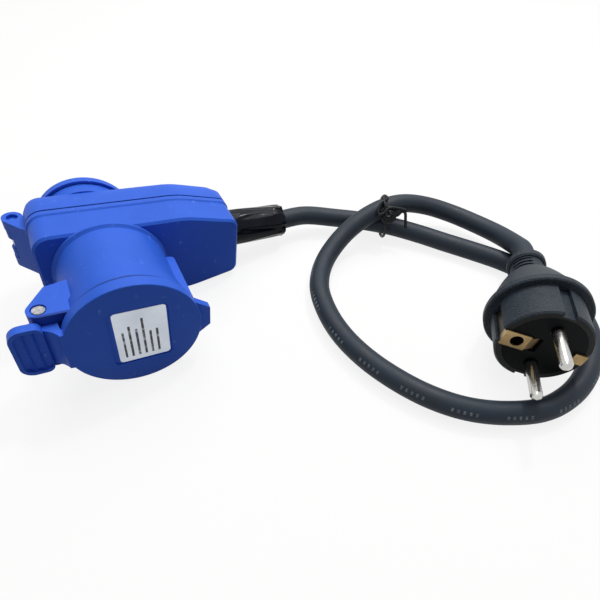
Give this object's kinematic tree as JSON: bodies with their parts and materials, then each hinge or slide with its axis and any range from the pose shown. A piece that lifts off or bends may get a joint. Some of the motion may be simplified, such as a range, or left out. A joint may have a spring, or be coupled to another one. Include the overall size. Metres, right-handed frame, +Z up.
{
  "type": "power adapter lead",
  "caption": "Short adapter lead: a moulded mains plug and looped rubber cable into a blue angled coupler with a lidded round camping socket in front and a lidded household socket behind.",
  "frame": {"origin": "centre of the coupler's footprint on the floor, at its base", "axes": "+X along the coupler from its hinge side to its cable, -Y the way the round socket faces, +Z up"},
  "size_m": [0.2397, 0.1834, 0.052],
  "materials": {
    "blue_housing": "fine-grained moulded",
    "seal_rubber": "matt",
    "black_insert": "smooth",
    "brass_contact": "bare",
    "steel": "plated",
    "nickel": "bright nickel",
    "label_foil": "satin",
    "sleeve_black": "shiny shrink sleeve",
    "cable_rubber": "matt",
    "tie_plastic": "coated wire",
    "plug_black": "grained moulded"
  },
  "bodies": {
    "housing": {"front_shell": "blue_housing", "back_shell": "blue_housing", "parting_seal": "seal_rubber", "shell_screws": "steel", "cee_collar": "blue_housing", "contact_carrier": "black_insert", "line_contact": "brass_contact", "neutral_contact": "brass_contact", "earth_contact": "brass_contact", "lid_pin": "steel", "lid_spring": "steel", "schuko_pin": "steel", "schuko_spring": "steel", "upper_socket_contact": "brass_contact", "lower_socket_contact": "brass_contact", "earth_strap": "brass_contact", "cable_clamp": "blue_housing", "clamp_screws": "steel", "shrink_sleeve": "sleeve_black", "cable": "cable_rubber", "twist_tie": "tie_plastic", "plug_body": "plug_black", "plug_bridge": "black_insert", "upper_plug_pin": "nickel", "lower_plug_pin": "nickel", "plug_earth_plate": "brass_contact", "plug_earth_clip": "brass_contact"},
    "round_lid": {"cee_lid": "blue_housing", "lid_seal": "seal_rubber", "label_plate": "label_foil"},
    "household_lid": {"schuko_lid": "blue_housing", "schuko_seal": "seal_rubber"}
  },
  "joints": [
    {"name": "cee_lid_hinge", "type": "hinge", "parent": "housing", "child": "round_lid", "pos_m": [-0.05328, -0.0311, 0.03071], "axis": [-0.1563, 0, -0.9877], "range_deg": [0, 100], "stiffness_Nm_per_rad": 0.03, "springref_deg": -34.38},
    {"name": "schuko_lid_hinge", "type": "hinge", "parent": "housing", "child": "household_lid", "pos_m": [-0.05644, 0.0321, 0.03121], "axis": [0.1563, 0, 0.9877], "range_deg": [0, 105], "stiffness_Nm_per_rad": 0.025, "springref_deg": -34.38}
  ]
}
